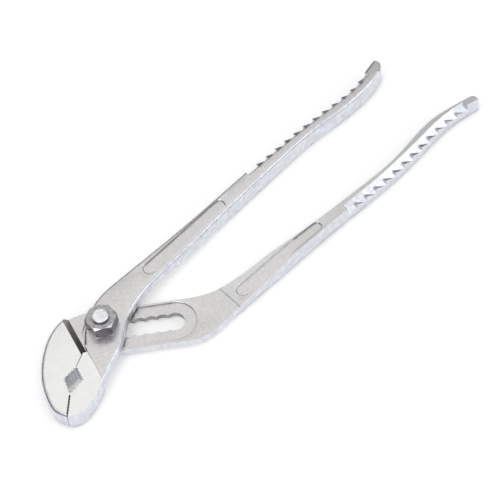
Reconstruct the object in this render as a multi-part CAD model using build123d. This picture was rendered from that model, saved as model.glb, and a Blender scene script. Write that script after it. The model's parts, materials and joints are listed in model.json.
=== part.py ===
"""Tongue and groove pliers, 250 mm class: two forged levers lapped at a bolt that sets in seven notches.

X runs along the handles and Z up through the thickness. Every piece is drawn with the bolt's axis at the
tightest notch as X = Y = 0, and written with the origin under the middle of the whole tool.
The tool lies on its back: both jaws, the slotted handle and the bolt's head reach down to Z = 0.
"""
import math
import os

from build123d import *

# Stack through the joint, from the back (mm)
LAP_BACK = 2.0          # back of the slotted plate, set in so that the bolt's head stays flush
LAP_FACE = 5.6          # joint face of the slotted plate
PLATE_BACK = 5.9        # back of the front lever's joint plate
FRONT_FACE = 10.6       # front of the front lever, from the joint to the handle's end
JAW_FACE = 9.6          # polished fronts of both jaws
SLOTTED_FACE = 9.0      # front of the slotted lever's handle
HANDLE_BACK = 1.2       # back of the front lever's handle
RECESS_FLOOR = 4.8      # floor of the racetrack recess round the slot

# Slot: seven round notches along a line that falls away from the jaws
SLOT_ANGLE = -35.5
NOTCHES = 7
PITCH = 5.3
NOTCH_R = 4.7
RECESS_R = 10.0
BAND_TOP = 11.4         # upper edge of the slotted plate, measured across the slot
BAND_BOTTOM = -11.9     # lower edge

# Bolt, nut and washer
SHANK_R = 4.62          # round part of the two-flat shank
SHANK_FLATS = 7.2
THREAD_R = 4.0
HEAD_R = 8.2
HEAD_BACK = 0.05
HEAD_FRONT = 1.9
HEAD_CHAMFER = 0.5
BOLT_TOP = 18.7
BOLT_END_R = 1.0
NUT_AF = 13.0
NUT_H = 6.5
NUT_TURN = 30.0         # two corners of the nut point across the handles
NUT_CHAMFER = 30.0
WASHER_R = 8.0
WASHER_BORE_R = 4.95
WASHER_BACK = 4.9
WASHER_FRONT = 5.8

# Jaws: the line where they meet, from the joint to the tip, and the pipe opening in it
JAW_GAP = 0.3
PART_START = (-14.9, -4.1)
LOWER_START = (-15.4, -4.4)      # the lower jaw's edge starts clear of the slotted plate's corner
OPENING_NEAR = (-21.8, -7.7)
OPENING_FAR = (-33.6, -17.4)
OPENING_UP = (-30.2, -8.7)
OPENING_DOWN = (-24.0, -15.6)
TIP = (-41.6, -25.2)
COARSE_TEETH = 5
FINE_TEETH = 8
COARSE_DEPTH = 0.7
FINE_DEPTH = 0.45

# Shoulder between the upper jaw and its joint plate: its top edge, and how far it runs out at the foot
SHOULDER_LOW = (-16.0, -2.7)
SHOULDER_HIGH = (-11.5, 14.0)
SHOULDER_RUN = 3.1
SHOULDER_GAP = 0.15      # from the foot to the front lever's plate, which lies a little higher

# Handles
RAMP_START = 28.0       # the front lever's back starts to slope here
RAMP_END = 88.0
LIP_X = 51.2            # the slotted lever's machined joint face ends here in a small lip
LIP_H = 0.4
LIP_RUN = 0.6
SLOTTED_RAMP_END = 92.0
FREE_ANGLE = 52.0       # opening at which the bolt's flats line up with the slot
KEY_TOP = 8.0           # the bolt's flats are keyed into the front lever up to here
KEY_GAP = 0.05          # all round the bolt in the front lever
EDGE_R = 1.8
PANEL_DEPTH = 0.9

# Grips: a bevel along the outer front edge of each handle, with saw teeth standing in it
GRIP_BEVEL = 3.3        # width of the bevel on the front face
GRIP_DROP = 4.1         # from the front face down to the bevel's foot
TOOTH_DROP = 1.6        # from the front face down to a tooth's tip
TOOTH_RUN = 4.8         # length of a tooth's slope
TEETH = 12
UPPER_GRIP = (101.4, 108.72, 6.04)   # where the bevel starts, the first tooth, and the teeth's pitch
LOWER_GRIP = (120.8, 125.9, 6.25)


def unit(a, b):
    """Direction from a to b, and the left-hand normal."""
    length = math.dist(a, b)
    dx, dy = (b[0] - a[0]) / length, (b[1] - a[1]) / length
    return (dx, dy), (-dy, dx)


def along_slot(u, v):
    """Plan point u along the slot from the first notch and v across it, towards the handles' side."""
    a = math.radians(SLOT_ANGLE)
    return u * math.cos(a) - v * math.sin(a), u * math.sin(a) + v * math.cos(a)


def slab(outline, low, high):
    """A plan outline, as a list of edges, raised from low to high."""
    face = make_face(outline)
    return extrude(Pos(0, 0, low) * face, amount=high - low, dir=(0, 0, 1))


def plate(points, low, high):
    """A straight-sided plan polygon raised from low to high."""
    return slab(Polyline(*points, close=True).edges(), low, high)


def side_cut(profile, y_low, y_high):
    """An X-Z polygon carried across the tool from y_low to y_high."""
    face = make_face(Plane.XZ * Polyline(*profile, close=True))
    return extrude(Pos(0, y_low, 0) * face, amount=y_high - y_low, dir=(0, 1, 0))


def round_rim(solid, radius):
    """Round the curved edges of the outline on the front and back faces. Straight ones are the blank's spare metal."""
    low, high = solid.bounding_box().min.Z, solid.bounding_box().max.Z
    rim = solid.edges().filter_by_position(Axis.Z, high - 0.01, high + 0.01)
    rim += solid.edges().filter_by_position(Axis.Z, low - 0.01, low + 0.01)
    return fillet(rim.filter_by(GeomType.BSPLINE), radius)


# ---------------------------------------------------------------- lever outlines

NOSE_TOP = [(-41.6, -24.9), (-42.6, -22.6), (-43.7, -18.2), (-42.9, -13.6), (-38.2, -2.8), (-28.6, 8.3),
            (-18.9, 14.6), (-14.2, 16.1), (-11.6, 16.4)]
NOSE_BOTTOM = [(-43.4, -20.5), (-42.6, -22.8), (-41.4, -25.2), (-38.6, -27.3), (-34.8, -28.0),
               (-26.3, -26.0), (-16.7, -21.4), (-8.3, -17.2), (-1.7, -14.1), (6.0, -8.3), (12.0, -4.0),
               (18.4, -1.3), (26.0, 0.9), (38.0, 2.6), (60.0, 5.0), (80.0, 7.5), (99.0, 9.5),
               (119.0, 11.3), (138.0, 12.5), (157.0, 12.0), (172.0, 12.6), (181.0, 14.2), (187.0, 16.6)]
UPPER_HANDLE_TOP = [(188.0, 22.9), (182.4, 21.4), (175.2, 19.4), (167.0, 18.5), (150.0, 18.8),
                    (133.0, 18.9), (116.0, 18.3), (98.0, 17.6), (72.0, 15.9), (48.0, 14.9),
                    (19.2, 14.3), (9.6, 13.5), (0.0, 9.9), (-4.8, 6.5), (-9.6, 1.6), (-12.8, -2.4)]
LOWER_HANDLE_TOP = [(38.4, -14.0), (43.2, -16.9), (48.0, -19.1), (58.0, -21.5), (77.6, -23.3),
                    (96.0, -24.8), (115.0, -25.7), (135.0, -26.1), (153.0, -25.8), (163.0, -24.5),
                    (173.0, -22.7), (184.0, -21.7), (193.0, -22.6), (201.0, -24.0), (206.0, -25.0)]
LOWER_HANDLE_BOTTOM = [(206.6, -29.4), (199.0, -28.2), (191.0, -27.6), (183.0, -27.9), (175.0, -28.8),
                       (167.0, -29.9), (148.0, -31.6), (134.0, -31.9), (119.0, -31.9), (100.0, -32.4),
                       (80.0, -33.1), (60.0, -33.8), (42.0, -34.9), (34.5, -35.3), (29.0, -34.4),
                       (23.6, -31.6), along_slot(31.0, BAND_BOTTOM)]


def front_blank():
    """Plan of the front lever, left oversize where the jaws meet."""
    bottom = Spline(*NOSE_BOTTOM)
    end = ThreePointArc(NOSE_BOTTOM[-1], (189.6, 20.9), UPPER_HANDLE_TOP[0])
    top = Spline(*UPPER_HANDLE_TOP)
    over = Polyline(UPPER_HANDLE_TOP[-1], (-20.0, 2.0), (-40.0, -14.0), NOSE_BOTTOM[0])
    return bottom.edges() + end.edges() + top.edges() + over.edges()


def slotted_blank():
    """Plan of the slotted lever, left oversize where the jaws meet."""
    crown = Spline(*NOSE_TOP)
    band_start = along_slot(-6.0, BAND_TOP)
    shoulder = Spline(NOSE_TOP[-1], (-6.2, 15.9), (-2.4, 14.6), band_start)
    band_top = Line(band_start, LOWER_HANDLE_TOP[0])
    handle_top = Spline(*LOWER_HANDLE_TOP)
    handle_bottom = Spline(*LOWER_HANDLE_BOTTOM)
    end = Spline(handle_top @ 1, (208.0, -27.4), handle_bottom @ 0, tangents=[handle_top % 1, handle_bottom % 0])
    under = Polyline(LOWER_HANDLE_BOTTOM[-1], along_slot(-6.0, BAND_BOTTOM), (-16.0, -12.0), (-38.0, -28.0),
                     NOSE_TOP[0])
    edges = crown.edges() + shoulder.edges() + band_top.edges() + handle_top.edges()
    return edges + end.edges() + handle_bottom.edges() + under.edges()


# ---------------------------------------------------------------- jaw meeting line


def toothed(a, b, count, depth, side):
    """Points from a to b with count saw teeth standing off the line by depth on one side."""
    (dx, dy), (nx, ny) = unit(a, b)
    step = math.dist(a, b) / count
    points = []
    for i in range(count):
        root = (a[0] + dx * step * i, a[1] + dy * step * i)
        crest = (root[0] + dx * step * 0.5 + nx * side * depth, root[1] + dy * step * 0.5 + ny * side * depth)
        points += [root, crest]
    return points + [b]


def jaw_line(side):
    """The toothed edge of one jaw from the joint to past the tip. side is 1 for the upper jaw, -1 for the lower."""
    _, normal = unit(OPENING_FAR, OPENING_NEAR)
    dx, dy = side * normal[0] * JAW_GAP / 2, side * normal[1] * JAW_GAP / 2
    start, corner = (PART_START, OPENING_UP) if side > 0 else (LOWER_START, OPENING_DOWN)
    near = toothed(OPENING_NEAR, corner, COARSE_TEETH, COARSE_DEPTH, side)
    far = toothed(corner, OPENING_FAR, COARSE_TEETH, COARSE_DEPTH, side)
    tip = toothed(OPENING_FAR, TIP, FINE_TEETH, FINE_DEPTH, -side)
    points = [start] + near + far[1:] + tip[1:]
    return [(x + dx, y + dy) for x, y in points]


def shoulder_foot(along):
    """Plan point just past the foot of the upper jaw's shoulder, along it from its low end."""
    (dx, dy), (nx, ny) = unit(SHOULDER_LOW, SHOULDER_HIGH)
    out = SHOULDER_RUN + SHOULDER_GAP
    return SHOULDER_LOW[0] + dx * along - nx * out, SHOULDER_LOW[1] + dy * along - ny * out


def below_jaw_line():
    """Everything under the upper jaw's edge, as a cutter."""
    line = jaw_line(1)
    under = [(line[-1][0] - 5, line[-1][1] - 4), (-46, -40), (-10, -40), along_slot(-2, BAND_BOTTOM)]
    return plate(line + under + [along_slot(-9.6, BAND_BOTTOM)], -1, JAW_FACE + 2)


def above_jaw_line():
    """Everything over the lower jaw's edge, as a cutter."""
    line = jaw_line(-1)
    over = [(line[-1][0] - 5, line[-1][1] - 4), (-50, -20), (-40, 0), (-16, 6)]
    return plate(line + over + [shoulder_foot(1.7), shoulder_foot(-2.2)], -1, FRONT_FACE + 1)


# ---------------------------------------------------------------- features of the levers


def jaw_step():
    """The curve where the lower jaw ends and the joint begins, from the joint's top to under the jaw."""
    return ThreePointArc(along_slot(-8.0, BAND_BOTTOM - 0.35), (-16.0, -14.9), (-19.8, -25.5))


def lower_jaw_face():
    """Cutter that sets the lower jaw's polished face back from the joint face."""
    curve = jaw_step()
    rest = Polyline(curve @ 1, (-20.5, -40), (-50, -40), (-50, 0), (-13.4, -1.5), curve @ 0)
    return slab(curve.edges() + rest.edges(), JAW_FACE, FRONT_FACE + 1)


def front_lap():
    """Cutter that leaves only the joint plate of the front lever over the slotted one."""
    curve = jaw_step()
    rest = Polyline(curve @ 1, (-20.0, -40), (RAMP_START, -40), (RAMP_START, 30), (-22, 30),
                    along_slot(-20.0, BAND_BOTTOM - 0.35), curve @ 0)
    return slab(curve.edges() + rest.edges(), -1, PLATE_BACK)


def handle_back():
    """Cutter for the back of the front lever's handle, which slopes down from the joint plate."""
    profile = [(RAMP_START - 0.5, -1), (RAMP_START - 0.5, PLATE_BACK), (RAMP_START + 2, PLATE_BACK),
               (RAMP_END, HANDLE_BACK), (200, HANDLE_BACK), (200, -1)]
    return side_cut(profile, -10, 30)


def shoulder_cut():
    """Cutter for the joint side of the sloping shoulder between the upper jaw and its joint plate."""
    direction, normal = unit(SHOULDER_LOW, SHOULDER_HIGH)
    plane = Plane(origin=(*SHOULDER_LOW, 0), x_dir=(-normal[0], -normal[1], 0), z_dir=(-direction[0], -direction[1], 0))
    slope = SHOULDER_RUN / (JAW_FACE - LAP_FACE)
    profile = [(SHOULDER_RUN, LAP_FACE), (-slope, JAW_FACE + 1), (40, JAW_FACE + 1), (40, LAP_FACE)]
    face = make_face(plane * Polyline(*profile, close=True))
    return extrude(face, amount=60, both=True)


def slotted_front():
    """X-Z line of the slotted lever's front, right of the joint: a small lip, then an S-shaped rise to the handle."""
    start, steps = LIP_X + LIP_RUN, 8
    low, rise = LAP_FACE + LIP_H, SLOTTED_FACE - LAP_FACE - LIP_H
    ramp = [(start + (SLOTTED_RAMP_END - start) * i / steps, low + rise * (1 - math.cos(math.pi * i / steps)) / 2)
            for i in range(steps + 1)]
    return [(LIP_X, LAP_FACE)] + ramp + [(215, SLOTTED_FACE)]


def racetrack(start, start_r, end, end_r, low, high):
    """A rounded strip, tapering from start_r to end_r, raised from low to high."""
    (dx, dy), (nx, ny) = unit(start, end)
    a = [(start[0] + nx * start_r * k, start[1] + ny * start_r * k) for k in (1, -1)]
    b = [(end[0] + nx * end_r * k, end[1] + ny * end_r * k) for k in (1, -1)]
    cap_a = ThreePointArc(a[1], (start[0] - dx * start_r, start[1] - dy * start_r), a[0])
    cap_b = ThreePointArc(b[0], (end[0] + dx * end_r, end[1] + dy * end_r), b[1])
    return slab(cap_a.edges() + Line(a[0], b[0]).edges() + cap_b.edges() + Line(b[1], a[1]).edges(), low, high)


def slot_cut():
    """The row of round notches that makes the slot, and the racetrack recess round it."""
    notches = [Pos(*along_slot(i * PITCH, 0), 3) * Cylinder(NOTCH_R, 12) for i in range(NOTCHES)]
    recess = racetrack(along_slot(0, 0), RECESS_R, along_slot((NOTCHES - 1) * PITCH, 0), RECESS_R,
                       RECESS_FLOOR, LAP_FACE + 1)
    return notches + [recess]


def edge_y(outline, x):
    """Where an outline, given by its points, is at x."""
    points = sorted(outline)
    a, b = next((a, b) for a, b in zip(points, points[1:]) if a[0] <= x <= b[0])
    return a[1] + (b[1] - a[1]) * (x - a[0]) / (b[0] - a[0])


def bevel(a, b, outward, face):
    """Everything outside the grip's bevel over one stretch of the outer wall, from plan point a to b."""
    (dx, dy), _ = unit(a, b)
    plane = Plane(origin=(*a, 0), x_dir=(-outward * dy, outward * dx, 0), z_dir=(outward * dx, outward * dy, 0))
    over = 2.0
    inside = GRIP_BEVEL * (1 + over / GRIP_DROP)
    profile = [(0, face - GRIP_DROP), (3, face - GRIP_DROP), (3, face + over), (-inside, face + over)]
    return extrude(make_face(plane * Polyline(*profile, close=True)), amount=2 * math.dist(a, b), both=True)


def grip_cuts(outline, outward, face, start, first, pitch):
    """Cutters for a grip, one for the plain stretch before the first tooth and one for the space after each tooth."""
    under = 0.5
    low, peak = face - GRIP_DROP - under, face - TOOTH_DROP
    run = TOOTH_RUN * (peak - low) / (peak - low - under)
    bounds = [start] + [first + pitch * i for i in range(TEETH + 1)]
    cuts = []
    for i, (a, b) in enumerate(zip(bounds, bounds[1:])):
        left = [(a, peak), (a + run, low)] if i else [(a, low)]
        space = side_cut([(a, face + 1)] + left + [(b, low), (b, face + 1)], -45, 30)
        cuts.append(space & bevel((a, edge_y(outline, a)), (b, edge_y(outline, b)), outward, face))
    return cuts


# ---------------------------------------------------------------- the pieces


def rod(radius, low, high):
    """A round bar on the bolt's axis."""
    return Pos(0, 0, low) * Cylinder(radius, high - low, align=(Align.CENTER, Align.CENTER, Align.MIN))


def two_flats(radius, flats, low, high):
    """A round bar with two flats, turned so that the flats line up with the slot when the jaws are wide open."""
    strip = Pos(0, 0, (low + high) / 2) * Box(4 * radius, flats, high - low)
    return rod(radius, low, high) & (Rot(0, 0, SLOT_ANGLE - FREE_ANGLE) * strip)


def front_lever():
    """Upper handle, joint plate and lower jaw, in one forging."""
    lever = round_rim(slab(front_blank(), 0, FRONT_FACE), EDGE_R)
    lever -= above_jaw_line()
    lever -= front_lap()
    lever -= handle_back()
    lever -= lower_jaw_face()
    lever -= racetrack((35.1, 8.5), 3.0, (80.3, 12.2), 2.6, FRONT_FACE - PANEL_DEPTH, FRONT_FACE + 1)
    lever -= two_flats(SHANK_R + KEY_GAP, SHANK_FLATS + 2 * KEY_GAP, 0, KEY_TOP)
    lever -= rod(THREAD_R + KEY_GAP, 0, FRONT_FACE + 1)
    for cut in grip_cuts(UPPER_HANDLE_TOP, 1, FRONT_FACE, *UPPER_GRIP):
        lever -= cut
    return lever


def slotted_lever():
    """Lower handle, slotted plate and upper jaw, in one forging."""
    lever = round_rim(slab(slotted_blank(), 0, JAW_FACE), EDGE_R)
    lever -= below_jaw_line()
    lever -= shoulder_cut()
    lever -= side_cut([(8, LAP_FACE)] + slotted_front() + [(215, 12), (8, 12)], -45, 25)
    lever -= side_cut([(-11, -1), (-9.5, LAP_BACK), (46, LAP_BACK), (54, 0), (54, -1)], -45, 25)
    for cut in slot_cut():
        lever -= cut
    panel = racetrack((58.8, -28.4), 3.1, (104.0, -28.1), 2.3, 0, 12)
    floor = [(x, z - PANEL_DEPTH) for x, z in slotted_front()]
    lever -= panel & side_cut(floor + [(215, 12), (LIP_X, 12)], -45, 25)
    for cut in grip_cuts(LOWER_HANDLE_BOTTOM, -1, SLOTTED_FACE, *LOWER_GRIP):
        lever -= cut
    return lever


def pivot_bolt():
    """Flat-headed bolt: two flats through the slot, then thread through the front lever and the nut."""
    head = rod(HEAD_R, HEAD_BACK, HEAD_FRONT)
    head = chamfer(head.edges().group_by(Axis.Z)[0], HEAD_CHAMFER)
    thread = rod(THREAD_R, KEY_TOP, BOLT_TOP)
    thread = fillet(thread.edges().group_by(Axis.Z)[-1], BOLT_END_R)
    return head + two_flats(SHANK_R, SHANK_FLATS, HEAD_FRONT, KEY_TOP) + thread


def hex_nut():
    """M8 hexagon nut with the corners turned off at both ends."""
    flat, corner = NUT_AF / 2, NUT_AF / 2 / math.cos(math.radians(30)) + 0.1
    drop = (corner - flat) * math.tan(math.radians(NUT_CHAMFER))
    outline = [(0, 0), (flat, 0), (corner, drop), (corner, NUT_H - drop), (flat, NUT_H), (0, NUT_H)]
    turned = revolve(make_face(Plane.XZ * Polyline(*outline, close=True)), Axis.Z)
    hexagon = extrude(RegularPolygon(flat, 6, major_radius=False, rotation=NUT_TURN), NUT_H)
    return Pos(0, 0, FRONT_FACE) * (hexagon & turned) - rod(THREAD_R, FRONT_FACE, BOLT_TOP)


def joint_washer():
    """Washer between the levers, lying in the recess round the slot."""
    return rod(WASHER_R, WASHER_BACK, WASHER_FRONT) - rod(WASHER_BORE_R, WASHER_BACK, WASHER_FRONT)


PIECES = {
    "front_lever": front_lever,
    "slotted_lever": slotted_lever,
    "pivot_bolt": pivot_bolt,
    "hex_nut": hex_nut,
    "joint_washer": joint_washer,
}


def under_the_middle(pieces):
    """Move that brings the origin from the bolt's axis to under the middle of the whole tool, to 0.01 mm."""
    boxes = [piece.bounding_box() for piece in pieces]
    middle_x = (min(box.min.X for box in boxes) + max(box.max.X for box in boxes)) / 2
    middle_y = (min(box.min.Y for box in boxes) + max(box.max.Y for box in boxes)) / 2
    return Pos(-round(middle_x, 2), -round(middle_y, 2), 0)


if __name__ == "__main__":
    os.makedirs("parts", exist_ok=True)
    made = {name: make() for name, make in PIECES.items()}
    move = under_the_middle(made.values())
    print("bolt axis at", move.position)
    for name, piece in made.items():
        export_step(move * piece, f"parts/{name}.step")
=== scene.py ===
"""Tongue and groove pliers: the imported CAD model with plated-steel materials, lights and a camera."""
import json
import math

import bmesh
import bpy
from mathutils import Matrix, Vector
from mathutils.bvhtree import BVHTree

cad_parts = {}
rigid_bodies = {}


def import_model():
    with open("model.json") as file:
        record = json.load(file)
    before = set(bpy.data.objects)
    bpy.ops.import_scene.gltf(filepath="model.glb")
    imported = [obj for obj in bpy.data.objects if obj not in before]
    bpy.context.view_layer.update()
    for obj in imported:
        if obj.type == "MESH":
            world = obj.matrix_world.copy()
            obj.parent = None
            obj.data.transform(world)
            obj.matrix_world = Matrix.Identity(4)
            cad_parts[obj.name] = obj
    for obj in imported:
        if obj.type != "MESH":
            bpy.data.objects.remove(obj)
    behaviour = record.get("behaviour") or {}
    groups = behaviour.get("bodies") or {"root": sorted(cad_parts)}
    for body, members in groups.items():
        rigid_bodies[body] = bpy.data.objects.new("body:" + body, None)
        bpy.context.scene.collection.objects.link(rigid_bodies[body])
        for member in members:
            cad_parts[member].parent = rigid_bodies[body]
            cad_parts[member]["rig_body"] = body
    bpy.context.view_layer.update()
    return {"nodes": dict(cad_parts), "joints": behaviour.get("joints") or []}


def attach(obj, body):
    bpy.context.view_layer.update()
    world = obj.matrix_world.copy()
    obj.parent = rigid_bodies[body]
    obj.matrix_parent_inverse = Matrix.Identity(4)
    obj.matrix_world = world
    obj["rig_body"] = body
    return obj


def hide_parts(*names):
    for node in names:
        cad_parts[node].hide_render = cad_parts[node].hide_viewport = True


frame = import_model()

MM = 0.001
HINGE = next(j for j in frame["joints"] if j["name"] == "jaw_hinge")
PIVOT = Vector((HINGE["pos_m"][0], HINGE["pos_m"][1], 0.0))

# Camera, as seen from the front left and above, in mm from the bolt's axis
TARGET = (73.67, -17.89, 10.6)
AZIMUTH = -33.9
ELEVATION = 54.5
ROLL = 9.8
DISTANCE = 1085.0 * 0.96
LENS = 164.6
SENSOR = 36.0


# Studio: (height, brightness) of the far side, colour of the near side, and where one turns into the other
FAR_SKY = ((0.0, 0.16), (0.42, 0.22), (0.62, 0.72), (0.80, 0.97), (1.0, 1.0))
NEAR_SKY = (0.97, 0.98, 1.0, 1)
SIDES_MEET = (-0.25, 0.15)
SKY_STRENGTH = 0.97
LIGHTS_AIM = (60, -10, 5)
FLOOR_HALF = 3.0
FLOOR_Z = -0.0005
FLOOR_GLOW = 0.24


# ---------------------------------------------------------------- camera


def place(point):
    """A place given in mm from the bolt's axis, in the frame's metres."""
    return PIVOT + Vector(point) * MM


def view_axes():
    """Right, up and back directions of the camera, before its roll."""
    a, e = math.radians(AZIMUTH), math.radians(ELEVATION)
    right = Vector((math.cos(a), math.sin(a), 0))
    back = Vector((math.sin(a) * math.cos(e), -math.cos(a) * math.cos(e), math.sin(e)))
    return right, back.cross(right), back


def add_camera():
    right, up, back = view_axes()
    r = math.radians(ROLL)
    x_axis = right * math.cos(r) - up * math.sin(r)
    y_axis = right * math.sin(r) + up * math.cos(r)
    data = bpy.data.cameras.new("camera")
    data.lens = LENS
    data.sensor_width = SENSOR
    data.clip_start = 0.01
    camera = bpy.data.objects.new("camera", data)
    turn = Matrix((x_axis, y_axis, back)).transposed().to_4x4()
    camera.matrix_world = Matrix.Translation(place(TARGET) + back * DISTANCE * MM) @ turn
    bpy.context.scene.collection.objects.link(camera)
    bpy.context.scene.camera = camera


# ---------------------------------------------------------------- materials

EDGE_WEAR_R = 0.0003
EDGE_WEAR = (0.99, 0.85, 0.5)   # cosine where the wear starts and where it is full, and how strong it is
HANDLE_TONE_X = (0.0, 0.11)            # metres along the tool, where the handles' darkening starts and is full
# the grey that the handles' satin faces are multiplied by towards their ends
HANDLE_END_TONE = (0.74, 0.73, 0.74)
MOTTLE_SPAN = (0.32, 0.68)      # the part of the noise that goes from the dark to the light grey
GLOSS_SPAN = (0.3, 0.7)
BUMP_DEPTH = 0.0002

# Key: name, light grey, dark grey, roughness from and to, grain per metre, bump, mottle per metre
PLATES = {
    "face": ("plate_satin", (0.80, 0.785, 0.775), (0.69, 0.675, 0.67), (0.26, 0.40), 850, 0.4, 1000),
    "wall": ("plate_bright", (0.74, 0.75, 0.79), (0.58, 0.59, 0.64), (0.18, 0.28), 500, 0.2, 400),
    "jaw": ("plate_polished", (0.92, 0.915, 0.90), (0.88, 0.875, 0.86), (0.12, 0.18), 2400, 0.03, 300),
    # painted shade for the shoulder's slope and the step beside the lower jaw
    "dark": ("plate_shaded", (0.30, 0.275, 0.27), (0.22, 0.20, 0.20), (0.30, 0.42), 1600, 0.2, 300),
    # painted shade: pocket and slot walls, rounded lower edges and the upper grip's slopes
    "painted_shade": ("plate_painted_shade", (0.40, 0.39, 0.40), (0.26, 0.25, 0.26), (0.30, 0.45), 900, 0.3, 300),
    "nut": ("plate_mirror", (0.94, 0.94, 0.95), (0.72, 0.72, 0.74), (0.08, 0.16), 700, 0.2, 500),
    "nut_top": ("plate_turned", (0.52, 0.50, 0.51), (0.32, 0.31, 0.32), (0.16, 0.26), 900, 0.25, 700),
    # painted shade: near-black grey for the nut's flats and the bolt's sides
    "nut_painted_dark": ("plate_flat_painted_dark", (0.22, 0.21, 0.24), (0.10, 0.09, 0.11), (0.14, 0.22), 1400, 0.1, 300),
    "washer": ("washer_ground", (0.60, 0.59, 0.58), (0.48, 0.47, 0.46), (0.30, 0.42), 2000, 0.15, 300),
}


class Nodes:
    """A material's node tree, with short calls to add and join nodes."""

    def __init__(self, name):
        self.material = bpy.data.materials.new(name)
        self.material.use_nodes = True
        self.tree = self.material.node_tree
        self.shader = self.tree.nodes["Principled BSDF"]

    def add(self, kind, **inputs):
        node = self.tree.nodes.new(kind)
        for key, value in inputs.items():
            node.inputs[key.replace("_", " ")].default_value = value
        return node

    def join(self, source, target):
        self.tree.links.new(source, target)

    def noise(self, scale, detail):
        """Noise in the object's own metres."""
        spot = self.add("ShaderNodeTexCoord")
        texture = self.add("ShaderNodeTexNoise", Scale=scale, Detail=detail)
        self.join(spot.outputs["Object"], texture.inputs["Vector"])
        return texture.outputs["Fac"]

    def ramp(self, source, stops):
        """A colour ramp over source; stops are (position, (r, g, b))."""
        node = self.add("ShaderNodeValToRGB")
        elements = node.color_ramp.elements
        while len(elements) < len(stops):
            elements.new(0.5)
        for element, (position, colour) in zip(elements, stops):
            element.position = position
            element.color = (*colour, 1.0)
        self.join(source, node.inputs["Fac"])
        return node.outputs["Color"]

    def span(self, source, start, end, low=0.0, high=1.0):
        """source's start to end mapped to low to high."""
        node = self.add("ShaderNodeMapRange", From_Min=start, From_Max=end, To_Min=low, To_Max=high)
        self.join(source, node.inputs["Value"])
        return node.outputs["Result"]

    def blend(self, colour, other, amount, kind="MIX"):
        """colour, mixed with other by amount."""
        mix = self.add("ShaderNodeMixRGB", Color2=(*other, 1.0))
        mix.blend_type = kind
        self.join(amount, mix.inputs["Fac"])
        self.join(colour, mix.inputs["Color1"])
        return mix.outputs["Color"]

    def rub(self, colour, bright):
        """colour, brought to bright on corners, where the plate is rubbed."""
        rounded = self.add("ShaderNodeBevel", Radius=EDGE_WEAR_R)
        surface = self.add("ShaderNodeNewGeometry")
        facing = self.add("ShaderNodeVectorMath")
        facing.operation = "DOT_PRODUCT"
        self.join(rounded.outputs["Normal"], facing.inputs[0])
        self.join(surface.outputs["Normal"], facing.inputs[1])
        start, full, strength = EDGE_WEAR
        return self.blend(colour, bright, self.span(facing.outputs["Value"], start, full, high=strength))

    def fade(self, colour, end_tone):
        """colour, darkened more and more along the handles, from the start of the span along X to its end."""
        spot = self.add("ShaderNodeTexCoord")
        split = self.add("ShaderNodeSeparateXYZ")
        self.join(spot.outputs["Object"], split.inputs["Vector"])
        return self.blend(colour, end_tone, self.span(split.outputs["X"], *HANDLE_TONE_X), "MULTIPLY")

    def bump(self, source, strength):
        node = self.add("ShaderNodeBump", Strength=strength, Distance=BUMP_DEPTH)
        self.join(source, node.inputs["Height"])
        self.join(node.outputs["Normal"], self.shader.inputs["Normal"])


def plated(name, light, dark, rough, grain, bump, mottle):
    """Plate: two greys mottled over the surface, rubbed corners, varying gloss and a fine grain."""
    nodes = Nodes(name)
    nodes.shader.inputs["Metallic"].default_value = 1.0
    clouds = nodes.noise(mottle, 5.0)
    colour = nodes.ramp(clouds, [(MOTTLE_SPAN[0], dark), (MOTTLE_SPAN[1], light)])
    colour = nodes.rub(colour, tuple(min(1.2 * part, 0.95) for part in light))
    if name == "plate_satin":
        colour = nodes.fade(colour, HANDLE_END_TONE)
    nodes.join(colour, nodes.shader.inputs["Base Color"])
    fine = nodes.noise(grain, 6.0)
    nodes.join(nodes.span(fine, *GLOSS_SPAN, *rough), nodes.shader.inputs["Roughness"])
    nodes.bump(fine, bump)
    return nodes.material


# ---------------------------------------------------------------- pieces

SMOOTH_ANGLE = math.radians(24)
DISSOLVE_ANGLE = math.radians(0.02)
WELD = 1e-7

# Limits on the Z of a face's normal
FLAT = 0.995
LEVEL = 0.9
UPRIGHT = 0.05

# In mm from the bolt's axis
JAW_FACE = 9.6
SHOULDER_X = -9.0       # the jaws and the shoulder lie left of this
UPPER_GRIP_X = 100.0
NUT_FLAT_HEIGHT = 1.0
POCKET_WALL = 1.4       # the walls of the panels and of the recess are lower than this
POCKET_MARGIN = 0.3
# Rounded strips: start, end and radius
PANELS = (((35.1, 8.5), (80.3, 12.2), 3.0), ((58.8, -28.4), (104.0, -28.1), 3.1))
RECESS = ((0.0, 0.0), (25.9, -18.5), 10.0)
SLOT = ((0.0, 0.0), (25.9, -18.5), 4.7)
PANEL_RIM_R = 0.6
RECESS_RIM_R = 0.4
RECESS_RIM_X = 12.0     # left of this the recess runs under the front lever
LEVEL_TOL = 0.03        # how far the surface beside a rim may fall where the rim is rounded


def in_pocket(point, pockets):
    """Whether a place, in mm from the bolt's axis, lies within one of the given rounded strips."""
    for start, end, radius in pockets:
        a, b = Vector(start), Vector(end)
        along = (point.xy - a).dot(b - a) / (b - a).length_squared
        if (point.xy - a - (b - a) * min(max(along, 0), 1)).length < radius + POCKET_MARGIN:
            return True
    return False


def pocket_wall(face, pockets):
    """Whether a face is one of the low upright walls of a pocket."""
    heights = [v.co.z for v in face.verts]
    low = (max(heights) - min(heights)) / MM < POCKET_WALL
    middle = (face.calc_center_median() - PIVOT) / MM
    return abs(face.normal.z) < UPRIGHT and low and in_pocket(middle, pockets)


def level_beyond(surface, edge, wall, radius):
    """Whether the surface outside a rim stays level for radius mm, so that a rounding fits there."""
    for vert in edge.verts:
        spot = vert.co - wall.normal * radius * MM
        hit = surface.ray_cast(spot + Vector((0, 0, 5 * MM)), Vector((0, 0, -1)))[0]
        if hit is None or abs(hit.z - vert.co.z) > LEVEL_TOL * MM:
            return False
    return True


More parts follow.
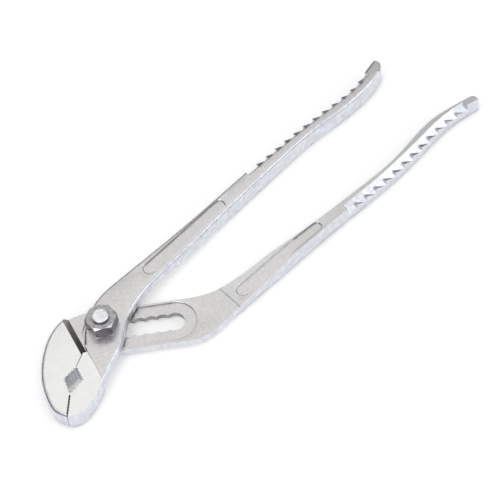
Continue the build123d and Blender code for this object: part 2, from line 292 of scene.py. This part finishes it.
def soften_rims(work, pockets, radius, from_x):
    """Round the upper rims of the given pockets, right of from_x, where there is room for it."""
    surface = BVHTree.FromBMesh(work)
    rims = []
    for edge in work.edges:
        if len(edge.link_faces) != 2 or not edge.is_convex:
            continue
        if min((v.co.x - PIVOT.x) / MM for v in edge.verts) < from_x:
            continue
        a, b = edge.link_faces
        if pocket_wall(b, pockets):
            a, b = b, a
        if pocket_wall(a, pockets) and b.normal.z > LEVEL and level_beyond(surface, edge, a, radius):
            rims.append(edge)
    bmesh.ops.bevel(
        work, geom=rims, offset=radius * MM, offset_type="OFFSET", segments=4, profile=0.5,
        affect="EDGES", clamp_overlap=False,
    )


def smooth_copy(node, name, soften=False):
    """A welded copy of a CAD node with smooth shading that keeps its corners sharp."""
    mesh = frame["nodes"][node].data.copy()
    mesh.name = name
    piece = bpy.data.objects.new(name, mesh)
    bpy.context.scene.collection.objects.link(piece)
    work = bmesh.new()
    work.from_mesh(mesh)
    bmesh.ops.remove_doubles(work, verts=work.verts, dist=WELD)
    bmesh.ops.dissolve_limit(work, angle_limit=DISSOLVE_ANGLE, verts=work.verts, edges=work.edges)
    if soften:
        soften_rims(work, PANELS, PANEL_RIM_R, 0)
        soften_rims(work, (RECESS,), RECESS_RIM_R, RECESS_RIM_X)
    for face in work.faces:
        face.smooth = True
    for edge in work.edges:
        edge.smooth = edge.calc_face_angle(math.pi) < SMOOTH_ANGLE
    work.to_mesh(mesh)
    work.free()
    if "custom_normal" in mesh.attributes:
        mesh.attributes.remove(mesh.attributes["custom_normal"])
    mesh.materials.clear()
    return piece


def paint(piece, materials, choose):
    """Give each polygon the material that choose names from its middle, normal and height (in mm)."""
    names = list(materials)
    for name in names:
        piece.data.materials.append(materials[name])
    for polygon in piece.data.polygons:
        middle = (polygon.center - PIVOT) / MM
        heights = [piece.data.vertices[v].co.z for v in polygon.vertices]
        tall = (max(heights) - min(heights)) / MM
        polygon.material_index = names.index(choose(middle, polygon.normal, tall))


def lever_finish(middle, normal, tall):
    """Jaw fronts are polished, level faces satin and walls bright; pocket and slot walls, undersides, the
    shoulder's slope, the step beside the lower jaw and the upper grip's slopes get painted shade.
    """
    upright = abs(normal.z) < UPRIGHT
    left = middle.x < SHOULDER_X
    if normal.z > FLAT and left and abs(middle.z - JAW_FACE) < 0.1:
        return "jaw"
    if left and 0.3 < normal.z < 0.8 and normal.x > 0.6:
        return "dark"       # painted shade on the slope of the shoulder
    # painted shade on the low walls of the panels and the recess
    if upright and tall < POCKET_WALL and in_pocket(middle, (*PANELS, RECESS)):
        return "painted_shade"
    # painted shade on the slot's walls
    if upright and in_pocket(middle, (SLOT,)):
        return "painted_shade"
    if upright and middle.z > JAW_FACE:
        return "dark"       # painted shade on the step beside the lower jaw
    if -LEVEL < normal.z < -0.15:
        return "painted_shade"     # painted shade on the rounded lower edges
    if UPRIGHT < normal.z < LEVEL and normal.y > 0.3 and middle.x > UPPER_GRIP_X and middle.y > 0:
        return "painted_shade"     # painted shade on the slopes of the upper grip
    return "face" if abs(normal.z) > LEVEL else "wall"


def nut_finish(_, normal, tall):
    if abs(normal.z) < 0.1 and tall > NUT_FLAT_HEIGHT:
        # the nut's flats get painted shade
        return "nut_painted_dark"
    return "nut_top" if normal.z > FLAT else "nut"


def bolt_finish(_, normal, __):
    # the bolt's sides get the same painted shade
    return "nut_painted_dark" if abs(normal.z) < 0.5 else "nut"


def add_pieces():
    kinds = {name: MATERIALS[name] for name in ("face", "wall", "jaw", "dark", "painted_shade")}
    for node in ("front_lever", "slotted_lever"):
        lever = smooth_copy(node, node + "_forging", soften=True)
        paint(lever, kinds, lever_finish)
        finish(lever, node)
    nut = smooth_copy("hex_nut", "hex_nut_turned")
    fastener = {name: MATERIALS[name] for name in ("nut", "nut_painted_dark", "nut_top")}
    paint(nut, fastener, nut_finish)
    finish(nut, "hex_nut")
    bolt = smooth_copy("pivot_bolt", "pivot_bolt_turned")
    paint(bolt, fastener, bolt_finish)
    finish(bolt, "pivot_bolt")
    washer = frame["nodes"]["joint_washer"]
    washer.data.materials.clear()
    washer.data.materials.append(MATERIALS["washer"])


def finish(piece, node):
    """Put a piece in the place of a CAD node, on that node's body."""
    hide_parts(node)
    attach(piece, frame["nodes"][node]["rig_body"])


# ---------------------------------------------------------------- stage and lights


def add_floor():
    mesh = bpy.data.meshes.new("floor")
    corners = [(-1, -1), (1, -1), (1, 1), (-1, 1)]
    mesh.from_pydata([(x * FLOOR_HALF, y * FLOOR_HALF, 0) for x, y in corners], [], [(0, 1, 2, 3)])
    floor = bpy.data.objects.new("floor", mesh)
    floor.location.z = FLOOR_Z
    bpy.context.scene.collection.objects.link(floor)
    nodes = Nodes("floor_white")
    nodes.shader.inputs["Base Color"].default_value = (0.93, 0.93, 0.93, 1)
    nodes.shader.inputs["Roughness"].default_value = 0.9
    nodes.shader.inputs["Emission Color"].default_value = (1, 1, 1, 1)
    nodes.shader.inputs["Emission Strength"].default_value = FLOOR_GLOW
    mesh.materials.append(nodes.material)


def add_light(name, where, size, watts):
    data = bpy.data.lights.new(name, "AREA")
    data.shape = "RECTANGLE"
    data.size, data.size_y = size
    data.energy = watts
    light = bpy.data.objects.new(name, data)
    light.location = where
    aim = (place(LIGHTS_AIM) - light.location).normalized()
    light.rotation_euler = aim.to_track_quat("-Z", "Y").to_euler()
    bpy.context.scene.collection.objects.link(light)


def add_world():
    """A white studio, open on the near side, with a dark low band and a grey upper part on the far side."""
    world = bpy.data.worlds.new("studio")
    world.use_nodes = True
    tree = world.node_tree
    direction = tree.nodes.new("ShaderNodeTexCoord")
    split = tree.nodes.new("ShaderNodeSeparateXYZ")
    tree.links.new(direction.outputs["Generated"], split.inputs["Vector"])
    height = tree.nodes.new("ShaderNodeValToRGB")
    elements = height.color_ramp.elements
    while len(elements) < len(FAR_SKY):
        elements.new(0.5)
    for element, (position, grey) in zip(elements, FAR_SKY):
        element.position = position
        element.color = (grey, grey, grey, 1)
    tree.links.new(split.outputs["Z"], height.inputs["Fac"])
    side = tree.nodes.new("ShaderNodeMapRange")
    side.inputs["From Min"].default_value, side.inputs["From Max"].default_value = SIDES_MEET
    tree.links.new(split.outputs["Y"], side.inputs["Value"])
    mix = tree.nodes.new("ShaderNodeMix")
    mix.data_type = "RGBA"
    tree.links.new(side.outputs["Result"], mix.inputs["Factor"])
    mix.inputs[6].default_value = NEAR_SKY
    tree.links.new(height.outputs["Color"], mix.inputs[7])
    tree.links.new(mix.outputs[2], tree.nodes["Background"].inputs["Color"])
    tree.nodes["Background"].inputs["Strength"].default_value = SKY_STRENGTH
    bpy.context.scene.world = world


add_camera()
MATERIALS = {key: plated(*row) for key, row in PLATES.items()}
add_pieces()
add_floor()
add_world()
add_light("key", (-0.5, -0.1, 0.9), (0.35, 0.35), 1.2)
add_light("fill", (0.6, -0.7, 0.35), (0.5, 0.3), 0.5)
bpy.context.scene.view_settings.view_transform = "Standard"
